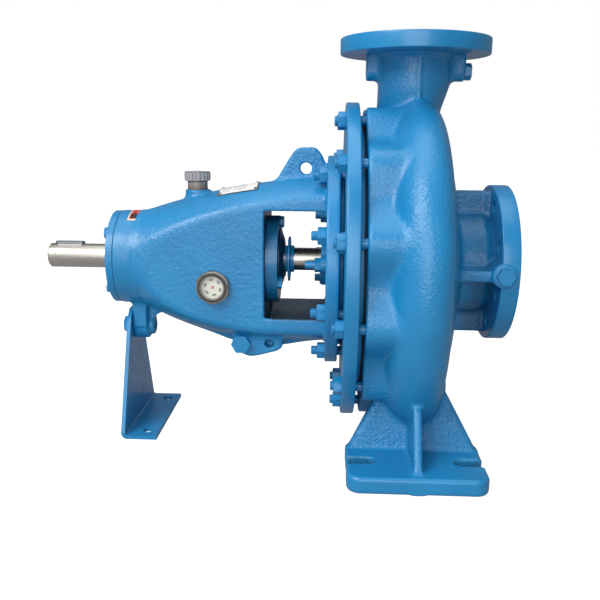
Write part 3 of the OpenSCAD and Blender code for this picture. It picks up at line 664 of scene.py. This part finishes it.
def enamel(name, grain=1.0, rough=0.36):
    """Blue machine enamel over the casting's grain.

    The vertex attribute "grain" says how much grain shows, "dirt_and_shade" how much dark speckle,
    and "shade" how much painted shade darkens the colour."""
    n = Nodes(name)
    tone = n.ramp(n.noise(14, 3), 0.35, 0.65)
    colour = n.mix(tone, BLUE, BLUE_DEEP)
    # Dark speckle where the attribute dirt_and_shade says so.
    dark = n.node("ShaderNodeAttribute", attribute_name="dirt_and_shade").outputs["Fac"]
    speck = n.ramp(n.noise(420, 2, 0.6), 0.46, 0.62)
    colour = n.mix(n.math("MULTIPLY", dark, speck), colour, SPECKLE_DARK)
    shade = n.node("ShaderNodeAttribute", attribute_name="shade").outputs["Fac"]
    colour = n.mix(shade, colour, IN_SHADE)
    n.set(Base_Color=colour, Roughness=n.ramp(n.noise(60, 3), 0.3, 0.7, rough - 0.05, rough + 0.07))
    n.set(Specular_IOR_Level=0.5, Coat_Weight=0.22, Coat_Roughness=0.16)
    if grain:
        strength = n.node("ShaderNodeAttribute", attribute_name="grain").outputs["Fac"]
        peel = n.noise(330, 2, 0.55)
        pebble = n.noise(150, 3, 0.6)
        height = n.math("ADD", n.math("MULTIPLY", peel, 0.55), n.math("MULTIPLY", pebble, 0.45))
        depth = n.math("MULTIPLY", strength, 0.0016 * grain)
        bump = n.node("ShaderNodeBump", Strength=1.0, Distance=depth, Height=height)
        n.set(Normal=bump.outputs["Normal"], Coat_Normal=bump.outputs["Normal"])
    return n.material


def metal(name, colour, rough, turned_axis=None):
    """Bare metal; with an axis given it shows fine turning marks along it."""
    n = Nodes(name)
    n.set(Base_Color=colour, Metallic=1.0, Roughness=rough)
    if turned_axis is not None:
        parts = n.node("ShaderNodeSeparateXYZ", Vector=n.place())
        line = n.node("ShaderNodeCombineXYZ", X=parts.outputs[turned_axis]).outputs[0]
        marks = n.noise(2600, 2, 0.6, line)
        bump = n.node("ShaderNodeBump", Strength=0.12, Distance=0.0004, Height=marks)
        n.set(Normal=bump.outputs["Normal"],
              Roughness=n.ramp(marks, 0.3, 0.7, rough - 0.05, rough + 0.12))
    else:
        n.set(Roughness=n.ramp(n.noise(300, 3), 0.3, 0.7, rough - 0.06, rough + 0.08))
    return n.material


def plain(name, colour, rough, metallic=0.0, coat=0.0, grime_and_shade=None):
    """Even colour, mixed with a second colour where the attribute dirt_and_shade says so."""
    n = Nodes(name)
    if grime_and_shade:
        dirt_and_shade = n.node("ShaderNodeAttribute", attribute_name="dirt_and_shade").outputs["Fac"]
        colour = n.mix(dirt_and_shade, colour, grime_and_shade)
    n.set(Base_Color=colour, Roughness=rough, Metallic=metallic, Coat_Weight=coat)
    return n.material


def printed(name, x_range, turn_range, border, fields):
    """A plate bent round the X axis, with a border and plain fields of colour on it.

    Each field is (x share from, to, turn share from, to, colour); turns are in degrees."""
    n = Nodes(name)
    parts = n.node("ShaderNodeSeparateXYZ", Vector=n.place()).outputs
    along = n.ramp(parts[0], *[(x + ORIGIN_X) * MM for x in x_range])
    turn = n.math("ARCTAN2", n.math("MULTIPLY", parts[1], -1.0), parts[2])
    around = n.ramp(turn, *np.radians(turn_range))
    colour = border
    for a, b, c, d, paint in fields:
        mask = 1.0
        for value, low, high in ((along, a, b), (around, c, d)):
            inside = n.math("COMPARE", value, (low + high) / 2)
            inside.node.inputs[2].default_value = (high - low) / 2
            mask = n.math("MULTIPLY", inside, mask)
        colour = n.mix(mask, colour, paint)
    n.set(Base_Color=colour, Roughness=0.4, Coat_Weight=0.2)
    return n.material


SILVER, INK, BLACK = rgb(238, 238, 236), rgb(120, 120, 122), rgb(44, 30, 30)
PLATE_X, PLATE_TURN = (-245, -193), (-2.5, 21.5)
LABEL_X, LABEL_TURN = (-361, -347), (-1, 33)
# Fields of colour on the nameplate and the label
RULES = [(0.03, 0.97, 0.05, 0.95, SILVER), (0.08, 0.62, 0.12, 0.20, INK)]
RULES += [(a, a + w, 0.24 + 0.11 * i, 0.265 + 0.11 * i, INK)
          for i in range(6) for a, w in ((0.08, 0.25), (0.36, 0.34))]
ARROW = [(0.12, 0.88, 0.08, 0.92, rgb(206, 62, 40)), (0.16, 0.84, 0.56, 0.88, BLACK),
         (0.40, 0.60, 0.44, 0.62, BLACK)]


MATERIAL = {
    "cast": enamel("cast_enamel"),
    "smooth": enamel("smooth_enamel", 0.0, 0.34),
    "shaft_steel": metal("shaft_steel", rgb(196, 190, 182), 0.27, 0),
    "bearing_steel": metal("bearing_steel", rgb(180, 182, 186), 0.2),
    "zinc_steel": metal("zinc_steel", rgb(168, 170, 172), 0.38),
    # grey_cap's last colour is painted shade for the grooves between the cap's ribs.
    "grey_cap": plain("grey_cap", rgb(168, 168, 170), 0.42, 0.25, 0.1, rgb(58, 56, 56)),
    "dark_ring": metal("dark_ring", rgb(146, 143, 136), 0.16),
    "bronze": metal("bronze", rgb(176, 138, 84), 0.35),
    "impeller_iron": metal("impeller_iron", rgb(120, 116, 108), 0.5, 0),
    "gasket": plain("gasket", rgb(26, 27, 28), 0.7),
    "seal_rubber": plain("seal_rubber", rgb(22, 23, 24), 0.5),
    "packing": plain("packing", rgb(70, 66, 58), 0.8),
    "reflector": plain("reflector", rgb(226, 224, 204), 0.35, 0.0, 0.3),
    "plate": printed("plate", PLATE_X, PLATE_TURN, rgb(70, 66, 62), RULES),
    "label": printed("label", LABEL_X, LABEL_TURN, rgb(226, 206, 178), ARROW),
}
glass = Nodes("glass")
glass.set(Base_Color=(0.95, 0.98, 0.96, 1), Roughness=0.03, Alpha=0.16, Coat_Weight=0.5)
MATERIAL["glass"] = glass.material
RECORD_SLOT = {s["node"]: s["material_slot"] for s in RECORD["subparts"]}


def look_of(slot):
    return MATERIAL["smooth" if slot.startswith("blue") else slot]


for node, shown in frame["nodes"].items():
    shown.data.materials.clear()
    shown.data.materials.append(look_of(RECORD_SLOT[node]))
    shown.data.polygons.foreach_set("use_smooth", np.ones(len(shown.data.polygons), bool))
    shown.data.set_sharp_from_angle(angle=math.radians(30))


def weigh(piece, attribute, values):
    """Stores one number for each vertex, for the material to read."""
    layer = piece.data.attributes.new(attribute, "FLOAT", "POINT")
    layer.data.foreach_set("value", np.asarray(values, np.float32))


def local(piece):
    co = np.zeros(len(piece.data.vertices) * 3, np.float32)
    piece.data.vertices.foreach_get("co", co)
    return co.reshape(-1, 3) / MM - np.array([ORIGIN_X, 0, 0])


def soften_edges(piece, width):
    bevel = piece.modifiers.new("edges", "BEVEL")
    bevel.width = width * MM
    bevel.segments = 2
    bevel.limit_method = "ANGLE"
    bevel.angle_limit = math.radians(30)
    bevel.harden_normals = True


# ---------------------------------------------------------------- the castings
STEP = 2.0
BRACKET_SPACE = (-376, -136, -139), (-83, 136, 147)
casing = casting("volute_casting", casing_field, (-80, CASING_LOW[1], BASE_Z),
                 (SUCTION_X, CASING_HIGH[1], DISCHARGE_Z),
                 STEP, MATERIAL["cast"], "pump_body", "blue_casting", ["volute_casing"])
x, y, z = local(casing).T
panel = (z < -112) & (z > FOOT_TOP + 2) & (np.abs(y) < 150)
grain = np.full(len(x), 0.8)
grain[panel & (np.abs(x - FOOT_X) > 8)] = 2.2
grain[np.hypot(x, y) < 62] = 0.9
grain[z < FOOT_TOP + 1] = 0.12
weigh(casing, "grain", grain)
near_neck = smooth_step((x - 66) / 20) * smooth_step((100 - np.hypot(y, z)) / 6)
depth = np.where(np.abs(y) > RIB_REACH - 0.5, 0, 0.30 + 0.2 * smooth_step(-z / 25))
weigh(casing, "shade", near_neck * depth)
# A speckled dark band along the edges of the foot's bolt slots.
slot_edge = np.abs(slot_distance(x - FOOT_X, np.abs(y)))
weigh(casing, "dirt_and_shade", np.where(z < FOOT_TOP + 3, 0.6 * np.clip(1 - slot_edge / 2, 0, 1), 0))

bracket = casting("bracket_casting", bracket_field, *BRACKET_SPACE, STEP * 0.8, MATERIAL["cast"],
                  "pump_body", "blue_casting", ["bearing_bracket"])
x, y, z = local(bracket).T
grain = np.full(len(x), 0.7)
grain[x > FLANGE_BACK - 3] = 0.1
grain[(z > 100) & (x < FLANGE_BACK - 5)] = 1.5
grain[(x < BARREL_X + 2)] = 0.35
weigh(bracket, "grain", grain)
inside = slab(x, WINDOW_X - 3, -100) + np.maximum(np.abs(y) - SIDE_Y + 10, 0)
weigh(bracket, "shade", 0.85 * smooth_step(-inside / 3) * (np.hypot(y, z) < 92))


def turned_piece(name, outline, soft, nodes, **axis):
    """A blue piece of the pump body, turned from an outline with softened corners."""
    shape = lathe(softened(outline, soft), segments=200, **axis)
    return add_piece(name, mesh_from(name, *shape), MATERIAL["smooth"], "pump_body",
                     nodes)


def bored(piece, cutters):
    """Cuts round holes, given as (place, axis, radius, length), through a piece."""
    parts = []
    for place, axis, radius, length in cutters:
        outline = [(-length / 2, 0.001), (-length / 2, radius), (length / 2, radius),
                   (length / 2, 0.001)]
        parts.append(lathe(outline, place, axis, 40))
    tool = bpy.data.objects.new("tool", mesh_from("tool", *merged(parts)))
    bpy.context.scene.collection.objects.link(tool)
    cut = piece.modifiers.new("holes", "BOOLEAN")
    cut.operation, cut.object, cut.solver = "DIFFERENCE", tool, "EXACT"
    bpy.context.view_layer.update()
    made = bpy.data.meshes.new_from_object(piece.evaluated_get(
        bpy.context.evaluated_depsgraph_get()))
    piece.modifiers.remove(cut)
    piece.data = made
    bpy.data.objects.remove(tool)
    made.set_sharp_from_angle(angle=math.radians(35))
    return piece


FLANGE_HOLE_R, SUCTION_HOLE_CIRCLE, DISCHARGE_HOLE_AT = 9.0, 80.0, 51.27
inner = SUCTION_X - PIPE_FLANGE_T
suction = turned_piece("suction_flange_disc",
                       [(inner, 60), (inner, SUCTION_R), (SUCTION_X, SUCTION_R), (SUCTION_X, 40),
                        (inner + 2, 40)], 1.6, ())
bored(suction, [((inner + PIPE_FLANGE_T / 2, b, c), (1, 0, 0), FLANGE_HOLE_R, 30)
                for b, c in places(8, SUCTION_HOLE_CIRCLE, 22.5)])
lower = DISCHARGE_Z - DISCHARGE_T
discharge = turned_piece("discharge_flange_disc",
                         [(lower, 40), (lower, DISCHARGE_R), (DISCHARGE_Z, DISCHARGE_R),
                          (DISCHARGE_Z, 32.5), (lower + 2, 32.5)], 1.6, (), axis=(0, 0, 1))
bored(discharge, [((DISCHARGE_HOLE_AT * a, DISCHARGE_HOLE_AT * b, lower + DISCHARGE_T / 2),
                   (0, 0, 1), FLANGE_HOLE_R, 30) for a in (-1, 1) for b in (-1, 1)])

# ---------------------------------------------------------------- cover, studs and nuts
# The cover's outline as (x, radius): rim, spigot into the casing, wear ring seat, stuffing box
LAND = COLLAR_X - 1.5
COVER_OUTLINE = [(COVER_BACK, COVER_R), (COVER_BACK + COVER_T, COVER_R), (COVER_BACK + COVER_T, 173),
                 (LAND, 173), (LAND, 167.9), (-48, 167.9), (-48, 158), (-56, 150), (-56, 112),
                 (-30, 92), (-17, 86), (-17, 56.1), (-26.1, 56.1), (-26.1, 40), (-31, 36), (-31, 17),
                 (-46, 17), (-46, 25), (-100, 25), (-100, 56), (-44, 56), (-36, 66), (-36, 84),
                 (-46, 94), (-88, 94), (-88, 99.9), (COVER_BACK, 99.9)]
turned_piece("cover_disc", COVER_OUTLINE, 1.8, ["casing_cover"])
COVER_RING, BRACKET_RING = (12, STUD_CIRCLE, 15), (8, BRACKET_CIRCLE, 22.5)
STUD_R, STUD_THREAD, NUT_FLATS, NUT_HEIGHT, NUT_HOLE_R = 5.95, 9.0, 19.0, 10.0, 6.0


def stud_row(name, ring, x0, x1, face, nodes):
    """A ring of studs from x0 to x1, threaded on the side of the face that the nuts sit on."""
    parts = [lathe(threaded(x0, x1, STUD_R, face - STUD_THREAD), (0, b, c), (1, 0, 0), 28)
             for b, c in places(*ring)]
    return add_piece(name, mesh_from(name, *merged(parts), 50), MATERIAL["smooth"], "pump_body",
                     nodes)


def nut_row(name, ring, face, nodes):
    """A ring of nuts on a face, each turned a little further than the one before it."""
    parts = []
    for i, (b, c) in enumerate(places(*ring)):
        parts.append(hex_solid((face, b, c), (-1, 0, 0), NUT_FLATS, NUT_HEIGHT, NUT_HOLE_R,
                               turn=0.35 + i * 0.61))
    return add_piece(name, mesh_from(name, *merged(parts), 25), MATERIAL["smooth"], "pump_body",
                     nodes)


stud_row("cover_stud_row", COVER_RING, -98, -37.2, COVER_BACK, ["cover_studs"])
nut_row("cover_nut_row", COVER_RING, COVER_BACK, ["cover_nuts"])
stud_row("bracket_stud_row", BRACKET_RING, -123, -62.2, FLANGE_BACK, ["bracket_studs"])
nut_row("bracket_nut_row", BRACKET_RING, FLANGE_BACK, ["bracket_nuts"])

# ---------------------------------------------------------------- edges, painted shade and tints of CAD pieces
CAST_EDGE, FINE_EDGE = 0.8, 0.35
CAP_GROOVE_R, CAP_GROOVE_Z = 16.15, (101.5, 112.5)
for node in ("drive_bearing_cover", "gland", "support_foot", "filler_neck", "pump_bearing_cover"):
    soften_edges(frame["nodes"][node], CAST_EDGE)
for node in ("drive_cover_bolts", "pump_cover_bolts", "oil_drain_plug", "suction_gauge_plug",
             "discharge_gauge_plug", "support_bolt", "gland_nuts", "sight_glass_ring",
             "filler_cap", "thrower", "shaft", "coupling_key"):
    soften_edges(frame["nodes"][node], FINE_EDGE)

bearing_cover = frame["nodes"]["pump_bearing_cover"]
x, y, z = local(bearing_cover).T
weigh(bearing_cover, "shade", np.where(np.hypot(y, z) < 56, 0.85, 0.4))
# Painted shade in the grooves between the filler cap's ribs.
cap = frame["nodes"]["filler_cap"]
x, y, z = local(cap).T
weigh(cap, "dirt_and_shade", (np.hypot(x - FILLER[0], y) < CAP_GROOVE_R) & (slab(z, *CAP_GROOVE_Z) < 0))
# The filler neck gets darker and browner towards its bottom.
neck = frame["nodes"]["filler_neck"]
weigh(neck, "dirt_and_shade", np.clip((100 - local(neck)[:, 2]) / 8, 0, 0.8))
neck.data.materials[0] = plain("neck", rgb(158, 154, 146), 0.5, 0.3, 0.0, rgb(98, 80, 60))


def sight_band(name, outline, material):
    """A ring on the sight glass, as (height, radius) points out from the bracket's side."""
    shape = lathe(outline, (SIGHT[0], -SIDE_Y, SIGHT[1]), (0, -1, 0), 72)
    return add_piece(name, mesh_from(name, *shape), material, "pump_body")


# A black ring standing in for the shadowed gap round the sight glass: painted shade.
sight_band("sight_painted_gap_shade", [(8.8, 16.3), (9.12, 16.3), (9.12, 18.0), (8.8, 18.0)],
           MATERIAL["gasket"])
sight_band("sight_bright_band", [(7.9, 13.6), (8.6, 13.8), (8.6, 14.4), (7.9, 14.8)],
           MATERIAL["zinc_steel"])
sight_band("sight_red_dot", [(3.7, 0.001), (3.95, 0.001), (3.95, 2.1), (3.7, 2.1)],
           plain("red_dot", rgb(206, 30, 36), 0.4))

# ---------------------------------------------------------------- camera and light
LENS, SENSOR = 43.5222, 36.0
CAMERA_PLACE = (-101.04, -950.84, 161.18)
# Turns in radians: to the right, down, and about the line of sight
YAW, PITCH, ROLL = -0.0408, 0.2245, 0.0097
camera = bpy.data.objects.new("camera", bpy.data.cameras.new("camera"))
bpy.context.scene.collection.objects.link(camera)
bpy.context.scene.camera = camera
camera.data.sensor_width, camera.data.lens = SENSOR, LENS
camera.data.clip_start, camera.data.clip_end = 0.05, 20
forward = Vector((math.sin(YAW) * math.cos(PITCH), math.cos(YAW) * math.cos(PITCH),
                  -math.sin(PITCH)))
level = Vector((math.cos(YAW), -math.sin(YAW), 0))
down = forward.cross(level)
axis_x = level * math.cos(ROLL) - down * math.sin(ROLL)
axis_y = -(level * math.sin(ROLL) + down * math.cos(ROLL))
facing = Matrix((axis_x, axis_y, -forward)).transposed()
camera.matrix_world = Matrix.Translation(Vector(to_frame(CAMERA_PLACE))) @ facing.to_4x4()


def lamp(name, place, size, power):
    """A square soft light that faces the middle of the pump."""
    data = bpy.data.lights.new(name, "AREA")
    data.shape, data.size, data.energy = "SQUARE", size, power
    made = bpy.data.objects.new(name, data)
    bpy.context.scene.collection.objects.link(made)
    place = Vector(place)
    facing = (CENTRE - place).to_track_quat("-Z", "Y").to_matrix().to_4x4()
    made.matrix_world = Matrix.Translation(place) @ facing


# A pale floor that glows a little, so that it stays white behind the pump
bpy.ops.mesh.primitive_plane_add(size=40, location=(0, 0, (BASE_Z - 0.3) * MM))
floor = bpy.context.object
floor.name = "floor"
n = Nodes("floor")
n.set(Base_Color=(0.28, 0.28, 0.28, 1), Roughness=0.9, Specular_IOR_Level=0.1,
      Emission_Color=(1, 1, 1, 1))
seen = n.node("ShaderNodeLightPath").outputs["Is Camera Ray"]
n.set(Emission_Strength=n.ramp(seen, 0, 1, 0.10, 1.0))
floor.data.materials.append(n.material)
floor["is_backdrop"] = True

# Lamps, with places and sizes in metres and power in watts
CENTRE = Vector((-0.22, 0.0, 0.0))
lamp("key", (-1.9, -1.8, 2.1), 1.7, 72)
lamp("fill", (-0.4, -2.7, 0.7), 1.8, 32)
lamp("top", (-0.3, 0.0, 2.5), 2.2, 26)

# The world lights softly, and shows white to the camera
world = bpy.data.worlds.new("studio")
bpy.context.scene.world = world
world.use_nodes = True
tree = world.node_tree
background = tree.nodes["Background"]
backdrop = tree.nodes.new("ShaderNodeBackground")
backdrop.inputs["Color"].default_value = (1, 1, 1, 1)
background.inputs["Color"].default_value = (0.86, 0.92, 1.0, 1)
background.inputs["Strength"].default_value = 0.26
blend = tree.nodes.new("ShaderNodeMixShader")
tree.links.new(tree.nodes.new("ShaderNodeLightPath").outputs["Is Camera Ray"], blend.inputs[0])
tree.links.new(background.outputs[0], blend.inputs[1])
tree.links.new(backdrop.outputs[0], blend.inputs[2])
tree.links.new(blend.outputs[0], tree.nodes["World Output"].inputs[0])
bpy.context.scene.view_settings.view_transform = "Standard"

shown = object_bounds()
